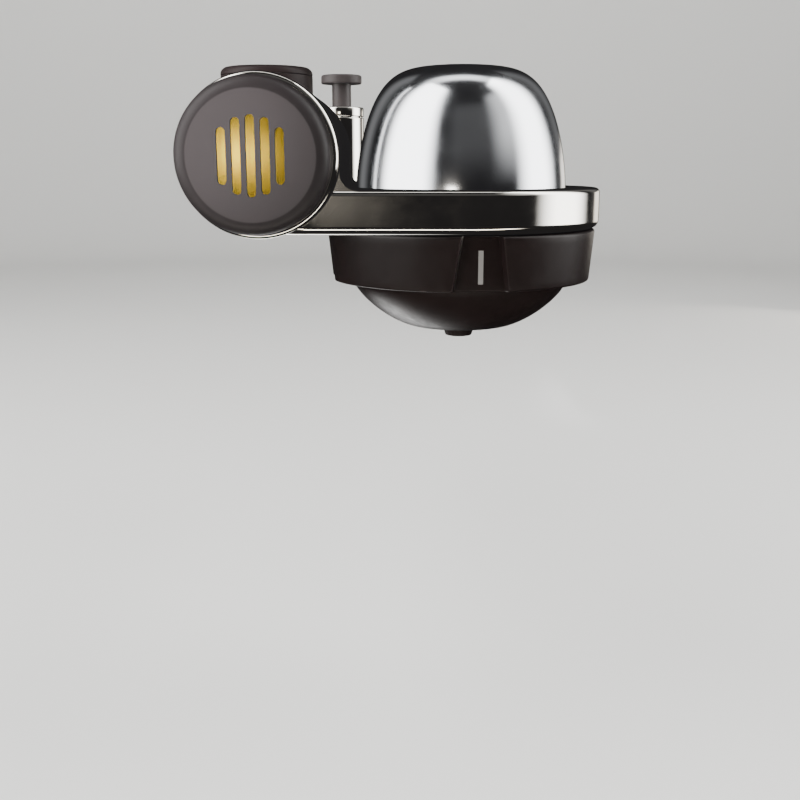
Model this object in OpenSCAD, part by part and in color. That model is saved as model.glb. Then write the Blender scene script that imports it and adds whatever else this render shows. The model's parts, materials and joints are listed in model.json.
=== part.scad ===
// Hand-pumped pod coffee machine.
// The barrel lies along Y with its front cap at -Y and its pump handle at +Y.
// The head with the water dome stands beside the barrel at +X. +Z is up.
// The origin is on the barrel's axis, at the middle of the neck behind the collar.

/* [Barrel] */
// Radius of the collar that carries the cap, the gauge and the arm
barrel_r = 17.5; // [17.4:0.1:17.8]
// Length of the collar
collar_len = 77; // [75:1:79]
// Radius of the neck behind the collar, where a stand's ring grips
neck_r = 17; // [16.9:0.1:17.1]
// Length of the neck
neck_len = 12; // [10:1:14]
// Radius of the air reservoir's bore
reservoir_r = 14.2; // [13.8:0.1:14.3]
// Radius of the front cap
cap_r = 16.3; // [15.9:0.1:16.3]
// How far the front cap stands out of the collar
cap_proud = 8.5; // [7.5:0.5:9.5]
// Number of slots in the front cap
slot_count = 5; // [3:2:5]

/* [Head] */
// Distance from the barrel's axis to the head's axis
head_x = 46; // [45:0.5:48]
// Distance of the head's axis in front of the neck's middle
head_back = 41; // [40:0.5:42]
// Outer radius of the head's ring
ring_r = 35; // [34.6:0.1:35.6]
// Height of the ring and the arm
ring_h = 9.8; // [9.8:0.1:10.4]
// Rounding of the ring's and the arm's upper edges
ring_edge = 1.2; // [0.6:0.1:1.8]
// Rounding of the ring's and the arm's lower edges
ring_low_edge = 2; // [1:0.1:2.4]

/* [Dome] */
// Radius of the dome at its base
dome_r = 26.5; // [26.2:0.1:26.6]
// Height of the dome above the ring
dome_h = 29.2; // [26:0.2:30]
// Wall of the dome
dome_wall = 1.2; // [0.8:0.1:1.5]

/* [Gauge] */
// Radius of the gauge's housing
gauge_r = 10.5; // [10.2:0.1:10.6]
// Height of the gauge's rim above the barrel's axis
gauge_top = 19.8; // [19.4:0.1:20.6]
// Turn of the needle from zero to full scale, in degrees
needle_sweep = 240; // [180:10:270]

/* [Button] */
// Radius of the button's head
button_r = 5.5; // [5:0.1:6]
// Radius of the button's stem
stem_r = 2.6; // [2.3:0.1:2.8]
// Height of the button's top above the barrel's axis
button_top = 21.7; // [21:0.1:23]

/* [Portafilter] */
// Radius of the grip pads at the top
pad_top_r = 34.2; // [33.6:0.1:34.6]
// Radius of the grip pads at the lower edge
pad_low_r = 33.1; // [32.5:0.1:33.6]
// Radius of the bowl at the pads' lower edge
bowl_r = 27.8; // [27.5:0.1:28.2]
// Depth of the bowl below the pads
bowl_h = 12.1; // [11.5:0.2:13.5]
// Number of grip recesses
recess_count = 4; // [3:1:6]

/* [Pump] */
// Stroke of the pump handle
pump_stroke = 92; // [80:1:92]
// Radius of the handle
handle_r = 16.8; // [16.7:0.05:16.85]
// Length of the handle with its end cap
handle_len = 121.9; // [121.7:0.2:126.1]

/* [Hidden] */
$fn = 96;

// Small amount by which a cut runs past a face
past = 1;
// Gap between a turned part and the bore that it is fixed in
fit_gap = 0.05;
// Radial clearance of a shaft that slides or turns
run_gap = 0.06;

// Barrel stations along Y
neck_back = neck_len / 2;
collar_back = -neck_len / 2;
collar_front = collar_back - collar_len;
cap_front = collar_front - cap_proud;
cap_wall = 1.1;
slot_pitch = 3;
slot_w = 1.9;
slot_reach = 8.3;
mouth_r = cap_r + 0.1;
mouth_depth = 5;
plug_r = reservoir_r + 1;
plug_front = collar_front + 7.2;
plug_len = 3.5;
plug_back = plug_front + plug_len;
circlip_h = 1;
reservoir_back = -24;
bulkhead_y = -10;
check_bore_r = 5;
check_seat_len = 6;
check_hole = 1.5;
check_lift = 0.8;
check_disc_r = 2.9;
check_disc_h = 1.2;
check_disc_back = bulkhead_y - check_seat_len - 0.1;
cage_bore = 3.4;
cage_wall = 2;

// Pump
cylinder_r = 12.95;
cylinder_bore = 11.5;
cylinder_back = 113.5;
seal_h = 1.1;
rod_r = 3;
rod_neck_r = 2.4;
piston_front = -5;
piston_len = 8;
piston_gap = 0.08;
gland_len = 8;
gland_flange = 1.5;
bush_front = neck_back + 1.2;
bush_len = 8;
stop_front = bush_front + bush_len + pump_stroke + 0.3;
stop_h = 2;
handle_front = neck_back + 0.6;
handle_back = handle_front + handle_len;
handle_cap_h = 6;
handle_cap_front = handle_back - handle_cap_h;
handle_plug_len = 5.5;
handle_bore = 15.2;
handle_core_r = 16;
groove_count = 24;
groove_r = 0.55;
handle_screw_r = 2;
handle_screw_head = 3.6;
handle_screw_len = 16;

// Head
head_y = -head_back;
ring_top = -7.4;
ring_low = ring_top - ring_h;
dome_seat_z = ring_top - 2;
dome_seat_r = dome_r + 0.1;
floor_low = dome_seat_z - 2.8;
floor_hole_r = 18.5;
group_r = 28.5;
screen_r = 19.5;
screen_h = 0.5;
screen_pitch = 3.6;
screen_rings = 4;
sieve_rings = 5;
gasket_h = 1;
air_radius = 20.2;
air_r = 1.2;
clamp_in_r = 21.8;
clamp_out_r = 24.7;
dome_gasket_h = 0.6;
dome_flange_h = 1;
clamp_h = 1.6;
dome_screw_count = 6;
dome_screw_radius = 23.25;
dome_screw_r = 1;
dome_screw_head_r = 1.9;
dome_screw_head_h = 1.1;
// The dome's outline is r = dome_r * (1 - t ^ dome_fall) ^ (1 / dome_round), t from base to top
dome_fall = 1.52;
dome_round = 4.6;
dome_steps = 30;

// Bayonet
bayonet_in_r = 25.9;
bayonet_h = 2.5;
bayonet_top = ring_low + bayonet_h;
lug_count = 3;
lug_r = 27.9;
lug_half = 19;
gap_half = 23;
lug_low = bayonet_top + 0.1;
lug_h = 1.5;
lug_angle = 30;
gap_angle = lug_angle + 180 / lug_count;

// Portafilter heights
cover_top = ring_low - 0.3;
pad_low = cover_top - 12.8;
bowl_bottom = pad_low - bowl_h;
bowl_power = 1.4;
bowl_flat = 12.5;
bowl_steps = 18;
neck_ring_r = 25.6;
neck_ring_top = lug_low + lug_h;
basket_top = floor_low - gasket_h - 0.1;
basket_flange_r = 24.4;
basket_r = 22.7;
basket_wall = 0.5;
basket_depth = 8;
basket_low = basket_top - basket_depth;
sieve_h = 1.2;
sieve_low = basket_low - sieve_h;
funnel_top_r = 20;
funnel_low = bowl_bottom + 3.4;
recess_floor_r = 31.8;
recess_angle = -84.5;
recess_half_top = 4;
recess_half_low = 6.45;
nozzle_r = 4.4;
nozzle_tip_r = 3.4;
nozzle_low = bowl_bottom - 3.1;
nozzle_bore = 1.6;
mark_w = 1.15;
mark_h = 7.7;
mark_depth = 0.5;

// Gauge, on a vertical axis through the barrel
gauge_y = collar_front + 22;
gauge_floor = 9.6;
gauge_wall = 1;
bezel_low = gauge_top - 1.9;
bezel_round = 1.5;
bezel_in_r = gauge_r - 2.2;
boss_r = 12.4;
boss_low = 4.6;
gauge_stem_r = 2.5;
dial_z = 14.6;
dial_h = 0.5;
dial_marks = 8;
zero_angle = needle_sweep / 2 - 90;
spindle_r = 0.5;
needle_z = dial_z + dial_h + 0.35;
needle_h = 0.4;
glass_low = bezel_low - 1;

// Button and valve tower
tower_x = 14.6;
tower_y = head_y + 25;
tower_r = 6;
tower_top = 10.5;
nut_top = 13.2;
tower_bore = 4.2;
seat_low = -6;
seat_h = 3;
chamber_r = 3.2;
button_h = 2.3;
button_low = button_top - button_h;
press_travel = 3.5;
poppet_r = 2.6;
poppet_h = 2;
poppet_top = seat_low - 0.1;
chamber_low = poppet_top - poppet_h - press_travel - 1.4;
shoulder_low = 4.5;
spigot_low = 7;
spigot_gap = 0.1;
valve_neck_r = 0.9;
valve_neck_top = 1.2;
seat_hole = 1.6;
spring_wire = 0.35;
spring_r = 3.3;
spring_turns = 4;
spring_rings = 14;
air_port_r = 1;
channel_r = 0.7;
channel_z = dome_seat_z - 1.3;
fillet_r = 3.8;

// Points of an arc about (cx, cy) from angle a0 to angle a1
function arc(cx, cy, r, a0, a1, n = 6) =
    [for (i = [0:n]) let (a = a0 + (a1 - a0) * i / n) [cx + r * cos(a), cy + r * sin(a)]];

// Radius of the dome at the share t of its height
function dome_at(t) = dome_r * pow(1 - pow(t, dome_fall), 1 / dome_round);

// Radius of the bowl at the share t of its depth
function bowl_at(t) =
    bowl_flat + (bowl_r - bowl_flat) * pow(1 - pow(t, bowl_power), 1 / bowl_power);

// Lay a shape's Z axis along Y
module along_y() {
    rotate([-90, 0, 0]) children();
}

// Move to the head's axis, the gauge's axis or the button's axis
module at_head() {
    translate([head_x, head_y, 0]) children();
}

module at_gauge() {
    translate([0, gauge_y, 0]) children();
}

module at_tower() {
    translate([tower_x, tower_y, 0]) children();
}

// Solid turned part from z0 to z1 with rounded lower and upper edges
module turned(r, z0, z1, low = 0.3, high = 0.3) {
    rotate_extrude()
        polygon(concat([[0, z0]], arc(r - low, z0 + low, low, -90, 0),
            arc(r - high, z1 - high, high, 0, 90), [[0, z1]]));
}

module rod(r, z0, z1) {
    translate([0, 0, z0]) cylinder(r = r, h = z1 - z0);
}

module tube(r_out, r_in, z0, z1) {
    difference() {
        rod(r_out, z0, z1);
        rod(r_in, z0 - past, z1 + past);
    }
}

// Ring with a round section, such as an O-ring
module o_ring(r_mid, section) {
    rotate_extrude() translate([r_mid, 0]) circle(r = section, $fn = 24);
}

// Pie slice of half-angle half about the direction angle
module wedge(r, half, angle, z0, z1) {
    reach = r * 2;
    translate([0, 0, z0]) rotate(angle) linear_extrude(z1 - z0)
        polygon([[0, 0], [reach * cos(half), -reach * sin(half)], [reach * cos(half), reach * sin(half)]]);
}

// Coil spring from z0 to z1, as a tube swept along a helix
module coil(r, wire, z0, z1, turns) {
    sides = 6;
    rings = turns * spring_rings;
    points = [for (i = [0:rings]) for (j = [0:sides - 1])
        let (a = 360 * turns * i / rings, b = 360 * j / sides, rr = r + wire * cos(b))
        [rr * cos(a), rr * sin(a), z0 + wire + (z1 - z0 - 2 * wire) * i / rings + wire * sin(b)]];
    walls = [for (i = [0:rings - 1]) for (j = [0:sides - 1])
        let (k = (j + 1) % sides, lo = i * sides, hi = (i + 1) * sides)
        [lo + j, hi + j, hi + k, lo + k]];
    ends = [[for (j = [0:sides - 1]) j], [for (j = [sides - 1:-1:0]) rings * sides + j]];
    polyhedron(points = points, faces = concat(walls, ends), convexity = 10);
}

// ---------- casting ----------

// Section of the arm across X, with rounded edges
module arm_section() {
    y0 = head_y - ring_r;
    y1 = head_y + ring_r;
    z0 = ring_low + ring_low_edge;
    z1 = ring_top - ring_edge;
    polygon(concat(arc(y1 - ring_edge, z1, ring_edge, 0, 90), arc(y0 + ring_edge, z1, ring_edge, 90, 180),
        arc(y0 + ring_low_edge, z0, ring_low_edge, 180, 270),
        arc(y1 - ring_low_edge, z0, ring_low_edge, 270, 360)));
}

// Hollow flank between the collar's side and the arm's top
module flank_section() {
    x0 = barrel_r - 3;
    cx = barrel_r + fillet_r;
    cy = ring_top + fillet_r;
    polygon(concat([[x0, 0], [x0, ring_top - past], [cx, ring_top - past]],
        arc(cx, cy, fillet_r, 270, 180), [[barrel_r, 0]]));
}

module casting_outside() {
    along_y() turned(barrel_r, collar_front, collar_back, 1, 0.5);
    along_y() rod(neck_r, collar_back - past, neck_back);
    at_head() turned(ring_r, ring_low, ring_top, ring_low_edge, ring_edge);
    rotate([90, 0, 90]) linear_extrude(head_x) arm_section();
    translate([0, head_y + ring_r, 0]) rotate([90, 0, 0]) linear_extrude(2 * ring_r) flank_section();
    at_tower() rod(tower_r, ring_top - past, tower_top);
}

module gauge_boss() {
    intersection() {
        at_gauge() rod(boss_r, boss_low, barrel_r);
        along_y() rod(barrel_r - 1, collar_front, collar_back);
    }
}

module casting_cuts() {
    along_y() rod(mouth_r, collar_front - past, collar_front + mouth_depth);
    along_y() rod(plug_r, collar_front, plug_back);
    along_y() rod(plug_r + 0.7, plug_front - circlip_h - 0.1, plug_front);
    along_y() rod(check_bore_r, reservoir_back - past, bulkhead_y + past);
    along_y() rod(cylinder_r + fit_gap, bulkhead_y, neck_back + past);
    at_gauge() rod(gauge_r + 0.1, gauge_floor, barrel_r + past);
    at_gauge() rod(gauge_stem_r + fit_gap, 0, gauge_floor + past);
    at_tower() rod(tower_r + 0.3, tower_top, barrel_r + past);
    at_tower() rod(tower_bore, seat_low, tower_top + past);
    at_tower() rod(chamber_r, chamber_low, seat_low + past);
    translate([tower_x - 2.2, 0, -1.5]) along_y() rod(air_port_r, reservoir_back - past, tower_y - 2);
    at_head() rod(dome_seat_r, dome_seat_z, ring_top + past);
    at_head() rod(floor_hole_r, floor_low - past, dome_seat_z + past);
    at_head() rod(screen_r + 0.1, floor_low - past, floor_low + screen_h);
    at_head() rod(group_r, ring_low - past, floor_low);
    at_head() air_tube_place() rod(air_r + fit_gap, dome_seat_z - 2, dome_seat_z + past);
    at_head() dome_screw_places() rod(dome_screw_r + fit_gap, floor_low - past, dome_seat_z + past);
    at_head() dome_screw_places()
        rod(dome_screw_head_r + fit_gap, floor_low - past, floor_low + dome_screw_head_h);
    air_channel();
}

// Drilled way from the valve's chamber through the arm to the foot of the air tube
module air_channel() {
    span = norm([head_x - tower_x, head_y - tower_y]);
    direction = atan2(head_y - tower_y, head_x - tower_x);
    translate([tower_x, tower_y, channel_z]) rotate([0, 90, direction])
        cylinder(r = channel_r, h = span - air_radius);
}

module body_casting() {
    color([0.80, 0.78, 0.73]) difference() {
        union() {
            difference() {
                casting_outside();
                along_y() rod(reservoir_r, collar_front - past, reservoir_back);
            }
            gauge_boss();
        }
        casting_cuts();
    }
}

// ---------- front of the barrel ----------

// Slots of the cap, with round ends, inside one circle
module cap_slots() {
    for (i = [0:slot_count - 1]) {
        x = (i - (slot_count - 1) / 2) * slot_pitch;
        half = sqrt(slot_reach * slot_reach - x * x) - slot_w / 2;
        translate([x, 0]) square([slot_w, 2 * half], center = true);
        for (s = [-1, 1]) translate([x, s * half]) circle(d = slot_w, $fn = 24);
    }
}

module end_cap() {
    plate_r = slot_reach + 1.8;
    color([0.20, 0.17, 0.17]) difference() {
        along_y() turned(cap_r, cap_front, collar_front + mouth_depth - 0.2, 3, 0.3);
        along_y() rod(cap_r - 1.8, cap_front + 3.4, plug_front);
        along_y() rod(plate_r, cap_front + cap_wall, cap_front + 4);
        translate([0, cap_front + cap_wall + past, 0]) rotate([90, 0, 0])
            linear_extrude(cap_wall + 2 * past) cap_slots();
    }
}

module badge_plate() {
    color("gold") along_y() rod(slot_reach + 1.7, cap_front + cap_wall, cap_front + cap_wall + 1);
}

module reservoir_plug() {
    groove_y = plug_front + plug_len / 2;
    color("lightgray") difference() {
        along_y() turned(plug_r - fit_gap, plug_front, plug_back, 0.3, 0.3);
        along_y() tube(plug_r + past, plug_r - 1.5, groove_y - 0.8, groove_y + 0.8);
        along_y() rod(plug_r - 4, plug_front - past, plug_front + 0.8);
    }
}

module plug_seal() {
    color("dimgray") along_y() translate([0, 0, plug_front + plug_len / 2]) o_ring(plug_r - 0.8, 0.7);
}

module plug_circlip() {
    color("silver") along_y() difference() {
        tube(plug_r + 0.6, plug_r - 1, plug_front - circlip_h - 0.05, plug_front - 0.05);
        wedge(plug_r, 8, -90, plug_front - 3, plug_front + past);
    }
}

// ---------- pump ----------

module cylinder_tube() {
    color("silver") along_y()
        tube(cylinder_r, cylinder_bore, bulkhead_y + seal_h + fit_gap, cylinder_back);
}

module cylinder_seal() {
    color("dimgray") along_y()
        tube(cylinder_r, cylinder_bore + 0.1, bulkhead_y + fit_gap / 2, bulkhead_y + seal_h);
}

module cylinder_gland() {
    color("goldenrod") along_y() difference() {
        union() {
            rod(cylinder_bore - fit_gap, cylinder_back - gland_len, cylinder_back);
            rod(cylinder_r - fit_gap, cylinder_back, cylinder_back + gland_flange);
        }
        rod(rod_r + run_gap, cylinder_back - gland_len - past, cylinder_back + gland_flange + past);
        rod(rod_r + 2, cylinder_back, cylinder_back + gland_flange + past);
    }
}

module gland_wiper() {
    color("dimgray") along_y() tube(rod_r + 1.95, rod_r + run_gap, cylinder_back, cylinder_back + 1.3);
}

module stroke_stop_ring() {
    color("silver") along_y() difference() {
        tube(cylinder_r + 1.8, cylinder_r + fit_gap / 2, stop_front, stop_front + stop_h);
        wedge(cylinder_r, 7, 90, stop_front - past, stop_front + stop_h + past);
    }
}

module check_valve_seat() {
    color("goldenrod") along_y() difference() {
        rod(check_bore_r - fit_gap, bulkhead_y - check_seat_len, bulkhead_y);
        rod(check_hole, bulkhead_y - check_seat_len - past, bulkhead_y + past);
    }
}

module check_valve_cage() {
    color("gold") along_y() difference() {
        rod(check_bore_r - fit_gap, reservoir_back, check_disc_back);
        rod(cage_bore, reservoir_back + cage_wall, check_disc_back + past);
        for (a = [45:90:315]) rotate(a) translate([2, 0, 0])
            rod(0.8, reservoir_back - past, reservoir_back + cage_wall + past);
    }
}

// Disc that seals the seat, on a short pin that the cage guides
module check_disc() {
    color("white") along_y() {
        rod(check_disc_r, check_disc_back - check_disc_h, check_disc_back);
        rod(1, reservoir_back + cage_wall + check_lift + 0.3, check_disc_back - check_disc_h + 0.2);
    }
}

module handle_tube() {
    color("silver") along_y() tube(handle_core_r, handle_bore, handle_front, handle_cap_front - fit_gap);
}

module handle_grip() {
    color([0.17, 0.15, 0.15]) along_y() difference() {
        rotate_extrude() polygon(concat(
            [[handle_core_r + fit_gap, handle_cap_front - 0.1], [handle_core_r + fit_gap, handle_front]],
            arc(handle_r - 0.5, handle_front + 0.5, 0.5, -90, 0),
            [[handle_r, handle_cap_front - 0.1]]));
        for (i = [0:groove_count - 1]) rotate(360 * i / groove_count) translate([handle_r + 0.15, 0, 0])
            rod(groove_r, handle_front + 14, handle_cap_front - 10);
    }
}

module handle_bush() {
    color("whitesmoke") along_y()
        tube(handle_bore - fit_gap, cylinder_r + run_gap, bush_front, bush_front + bush_len);
}

module handle_end_cap() {
    color([0.20, 0.17, 0.17]) along_y() difference() {
        union() {
            turned(handle_r, handle_cap_front, handle_back, 0.4, 2.5);
            rod(handle_bore - fit_gap, handle_cap_front - handle_plug_len, handle_cap_front + past);
        }
        rod(rod_r + fit_gap, handle_cap_front - handle_plug_len - past, handle_cap_front - 1);
        rod(handle_screw_r + fit_gap, handle_cap_front - 2, handle_back);
        rod(handle_screw_head + 0.3, handle_back - 2.6, handle_back + past);
    }
}

// Socket screw that holds the end cap to the rod
module handle_screw() {
    head_low = handle_back - 2.6;
    color("silver") along_y() difference() {
        union() {
            turned(handle_screw_head, head_low, handle_back - 0.6, 0.1, 0.4);
            rod(handle_screw_r, head_low - handle_screw_len, head_low + 0.2);
        }
        translate([0, 0, handle_back - 2]) cylinder(r = 1.8, h = 2, $fn = 6);
    }
}

module piston_rod() {
    rod_back = handle_cap_front - 1.1;
    color("silver") along_y() difference() {
        union() {
            rod(rod_r, piston_front + piston_len, rod_back);
            rod(rod_neck_r, piston_front - 3.4, piston_front + piston_len + past);
        }
        rod(handle_screw_r + fit_gap, handle_back - handle_screw_len - 4, rod_back + past);
    }
}

module piston_head() {
    groove = piston_front + piston_len / 2;
    color("whitesmoke") along_y() difference() {
        rod(cylinder_bore - piston_gap, piston_front, piston_front + piston_len);
        rod(rod_neck_r + fit_gap, piston_front - past, piston_front + piston_len + past);
        tube(cylinder_r, cylinder_bore - 2.2, groove - 1.2, groove + 1.2);
    }
}

module piston_seal() {
    groove = piston_front + piston_len / 2;
    color("dimgray") along_y() tube(cylinder_bore - 0.06, cylinder_bore - 2.1, groove - 1.1, groove + 1.1);
}

module piston_nut() {
    color("silver") along_y() difference() {
        translate([0, 0, piston_front - 3]) cylinder(r = 4.4, h = 2.95, $fn = 6);
        rod(rod_neck_r + fit_gap, piston_front - 4, piston_front + past);
    }
}

// ---------- gauge ----------

module gauge_housing() {
    inner = gauge_r - gauge_wall;
    color([0.14, 0.13, 0.13]) at_gauge() difference() {
        turned(gauge_r, gauge_floor + 0.6, bezel_low, 0.4, 0.05);
        rod(inner - 0.6, gauge_floor + 1.8, bezel_low + past);
        rod(inner, glass_low, bezel_low + past);
        rod(gauge_stem_r + fit_gap, gauge_floor, gauge_floor + 2 * past);
    }
}

module gauge_bezel() {
    color([0.14, 0.13, 0.13]) at_gauge() rotate_extrude() polygon(concat(
        [[bezel_in_r, bezel_low + 0.05], [gauge_r, bezel_low + 0.05]],
        arc(gauge_r - bezel_round, gauge_top - bezel_round, bezel_round, 0, 90),
        [[bezel_in_r + 0.5, gauge_top - 0.1], [bezel_in_r, gauge_top - 0.6]]));
}

module gauge_glass() {
    color([0.85, 0.92, 0.95, 0.4]) at_gauge() rod(gauge_r - gauge_wall - 0.1, glass_low + 0.02, bezel_low);
}

// Dial plate with a raised mark at each step of the scale
module gauge_dial() {
    color("white") at_gauge() {
        tube(gauge_r - gauge_wall - 0.7, spindle_r + 0.4, dial_z, dial_z + dial_h);
        for (i = [0:dial_marks]) rotate(zero_angle - needle_sweep * i / dial_marks)
            translate([6.6, -0.2, dial_z + dial_h / 2]) cube([1.4, 0.4, dial_h / 2 + 0.1]);
    }
}

// Brass movement with the spindle that the needle turns on
module gauge_movement() {
    color("goldenrod") at_gauge() {
        rod(3, gauge_floor + 1.85, gauge_floor + 2.8);
        translate([-5, -2, gauge_floor + 2.7]) cube([10, 4, dial_z - gauge_floor - 2.8]);
        rod(spindle_r, gauge_floor + 4, needle_z + needle_h);
    }
}

module gauge_stem() {
    color("goldenrod") at_gauge() difference() {
        union() {
            rod(gauge_stem_r, boss_low - 0.6, gauge_floor + 1.8);
            rod(4, gauge_floor + 0.02, gauge_floor + 0.58);
        }
        rod(0.6, boss_low - past, gauge_floor + 1.2);
    }
}

module gauge_washer() {
    color("firebrick") at_gauge() tube(6.4, 4.1, gauge_floor + 0.02, gauge_floor + 0.58);
}

// Needle: a hub on the spindle, a long arm and a short tail
module gauge_needle() {
    color("orangered") at_gauge() rotate(zero_angle) difference() {
        union() {
            rod(1.3, needle_z, needle_z + needle_h);
            translate([0, 0, needle_z]) linear_extrude(needle_h)
                polygon([[-2.6, -0.5], [0, -0.5], [7.2, -0.12], [7.2, 0.12], [0, 0.5], [-2.6, 0.5]]);
        }
        rod(spindle_r + run_gap, needle_z - past, needle_z + needle_h + past);
    }
}

// ---------- button and valve ----------

module valve_cap_nut() {
    color([0.80, 0.78, 0.73]) at_tower() difference() {
        union() {
            turned(tower_r, tower_top + 0.25, nut_top, 0.2, 0.3);
            rod(tower_r - 0.5, tower_top, tower_top + 0.5);
            rod(tower_bore - fit_gap, spigot_low, tower_top + 0.5);
        }
        rod(stem_r + run_gap, spigot_low - past, nut_top + past);
        rod(stem_r + 1, spigot_low + 1.2, spigot_low + 2.6);
    }
}

module stem_seal() {
    color("dimgray") at_tower() tube(stem_r + 0.95, stem_r + run_gap, spigot_low + 1.25, spigot_low + 2.55);
}

module valve_seat() {
    color("goldenrod") at_tower() tube(tower_bore - fit_gap, seat_hole, seat_low, seat_low + seat_h);
}

module valve_spring() {
    color("silver") at_tower()
        coil(spring_r, spring_wire, seat_low + seat_h + 0.02, shoulder_low - 0.02, spring_turns);
}

module button_head() {
    color([0.22, 0.19, 0.19]) at_tower() difference() {
        turned(button_r, button_low, button_top, 0.4, 0.5);
        rod(stem_r - 0.5, button_low - past, button_top - 0.9);
    }
}

module button_stem() {
    color([0.22, 0.19, 0.19]) at_tower() {
        rod(stem_r, spigot_low - spigot_gap - 0.5, button_low);
        rod(stem_r - 0.55, button_low - 0.5, button_top - 0.95);
        rod(tower_bore - 0.3, shoulder_low, spigot_low - spigot_gap);
        rod(1.4, valve_neck_top, shoulder_low + 0.5);
        rod(valve_neck_r, poppet_top - poppet_h + 0.25, valve_neck_top + 0.5);
    }
}

module valve_poppet() {
    color("dimgray") at_tower() difference() {
        turned(poppet_r, poppet_top - poppet_h, poppet_top, 0.4, 0.3);
        rod(valve_neck_r + 0.02, poppet_top - poppet_h + 0.2, poppet_top + past);
    }
}

// ---------- dome ----------

// Outline of the dome's half section, from the base to the top, moved inwards by inset
function dome_outline(inset) =
    [for (i = [0:dome_steps]) let (a = 90 * i / dome_steps, t = sin(a))
        [i == dome_steps ? 0 : max(dome_at(t) - inset, 0), ring_top + (dome_h - inset) * t]];

module dome_shell() {
    flange_low = dome_seat_z + dome_gasket_h;
    color([0.78, 0.80, 0.84]) at_head() difference() {
        rotate_extrude() polygon(concat([[0, flange_low], [dome_r, flange_low]], dome_outline(0)));
        rotate_extrude() polygon(concat([[0, flange_low + dome_flange_h],
            [dome_r - dome_wall, flange_low + dome_flange_h]], dome_outline(dome_wall)));
        rod(clamp_in_r, flange_low - past, flange_low + 2 * past);
        dome_screw_places() rod(dome_screw_r + fit_gap, flange_low - past, flange_low + 2 * past);
    }
}

module dome_screw_places() {
    for (i = [0:dome_screw_count - 1]) rotate(360 * i / dome_screw_count) translate([dome_screw_radius, 0, 0])
        children();
}

module dome_gasket() {
    color("dimgray") at_head() difference() {
        tube(dome_r - 0.1, clamp_in_r, dome_seat_z, dome_seat_z + dome_gasket_h);
        dome_screw_places() rod(dome_screw_r + fit_gap, dome_seat_z - past, dome_seat_z + 2 * past);
    }
}

module dome_clamp_ring() {
    low = dome_seat_z + dome_gasket_h + dome_flange_h;
    color("silver") at_head() difference() {
        tube(clamp_out_r, clamp_in_r, low, low + clamp_h);
        dome_screw_places() rod(dome_screw_r + fit_gap, low - past, low + clamp_h + past);
    }
}

// Screws from below, through the casting's floor into the clamp ring
module dome_screws() {
    top = dome_seat_z + dome_gasket_h + dome_flange_h + clamp_h - 0.1;
    color("silver") at_head() dome_screw_places() difference() {
        union() {
            rod(dome_screw_head_r, floor_low, floor_low + dome_screw_head_h - 0.05);
            rod(dome_screw_r, floor_low + 0.2, top);
        }
        translate([0, 0, floor_low - past]) cylinder(r = 0.9, h = past + 0.6, $fn = 6);
    }
}

module air_tube_place() {
    direction = atan2(tower_y - head_y, tower_x - head_x);
    rotate(direction) translate([air_radius, 0, 0]) children();
}

module air_tube() {
    air_top = 9.5;
    color("silver") at_head() air_tube_place() difference() {
        rod(air_r, dome_seat_z - 2, air_top);
        rod(air_r - 0.35, dome_seat_z - 3, air_top + past);
    }
}

// ---------- group ----------

// Rings of small holes about the centre
module hole_rings(rings, pitch, r, z0, z1) {
    rod(r, z0, z1);
    for (k = [1:rings]) for (i = [0:6 * k - 1]) rotate(360 * i / (6 * k)) translate([k * pitch, 0, 0])
        translate([0, 0, z0]) cylinder(r = r, h = z1 - z0, $fn = 16);
}

module shower_screen() {
    color("silver") at_head() difference() {
        rod(screen_r, floor_low, floor_low + screen_h - 0.02);
        hole_rings(screen_rings, screen_pitch, 0.6, floor_low - past, floor_low + past);
    }
}

module group_gasket() {
    color("dimgray") at_head() tube(basket_flange_r, floor_hole_r + 0.1, floor_low - gasket_h, floor_low);
}

module bayonet_ring() {
    color("silver") at_head() difference() {
        tube(group_r - fit_gap, bayonet_in_r, ring_low, bayonet_top);
        for (i = [0:lug_count - 1]) intersection() {
            rod(lug_r + 0.25, ring_low - past, bayonet_top + past);
            wedge(group_r, gap_half, gap_angle + 360 * i / lug_count, ring_low - past, bayonet_top + past);
        }
    }
}

// ---------- portafilter ----------

module bowl_solid() {
    rotate_extrude() polygon(concat([[0, cover_top], [bowl_r, cover_top]],
        [for (i = [0:bowl_steps]) let (t = sin(90 * i / bowl_steps)) [bowl_at(t), pad_low - bowl_h * t]],
        [[0, bowl_bottom]]));
}

// Grip pads: a tapered band, cut by shallow recesses
module pads() {
    tube(recess_floor_r, bowl_r - 1, pad_low, cover_top);
    difference() {
        rotate_extrude() polygon(concat([[bowl_r - 1, cover_top]],
            arc(pad_top_r - 0.6, cover_top - 0.6, 0.6, 90, 0),
            arc(pad_low_r - 0.4, pad_low + 0.4, 0.4, 0, -90), [[bowl_r - 1, pad_low]]));
        for (i = [0:recess_count - 1]) rotate(recess_angle + 360 * i / recess_count)
            translate([recess_floor_r - 0.3, 0, 0]) rotate([90, 0, 90]) linear_extrude(10) recess_section();
    }
}

module recess_section() {
    polygon([[-recess_half_top, cover_top + past], [-recess_half_low, pad_low - past],
        [recess_half_low, pad_low - past], [recess_half_top, cover_top + past]]);
}

module lugs() {
    for (i = [0:lug_count - 1]) intersection() {
        rod(lug_r, lug_low, lug_low + lug_h);
        wedge(lug_r, lug_half, lug_angle + 360 * i / lug_count, lug_low, lug_low + lug_h);
    }
}

module portafilter_cover() {
    color([0.12, 0.10, 0.09]) at_head() difference() {
        union() {
            bowl_solid();
            pads();
        }
        rod(neck_ring_r + fit_gap, sieve_low, cover_top + past);
        translate([0, 0, funnel_low])
            cylinder(r1 = nozzle_r, r2 = funnel_top_r, h = sieve_low - funnel_low + 0.01);
        rod(nozzle_r + fit_gap, bowl_bottom - past, funnel_low + 0.01);
        index_bar(past);
    }
}

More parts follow.
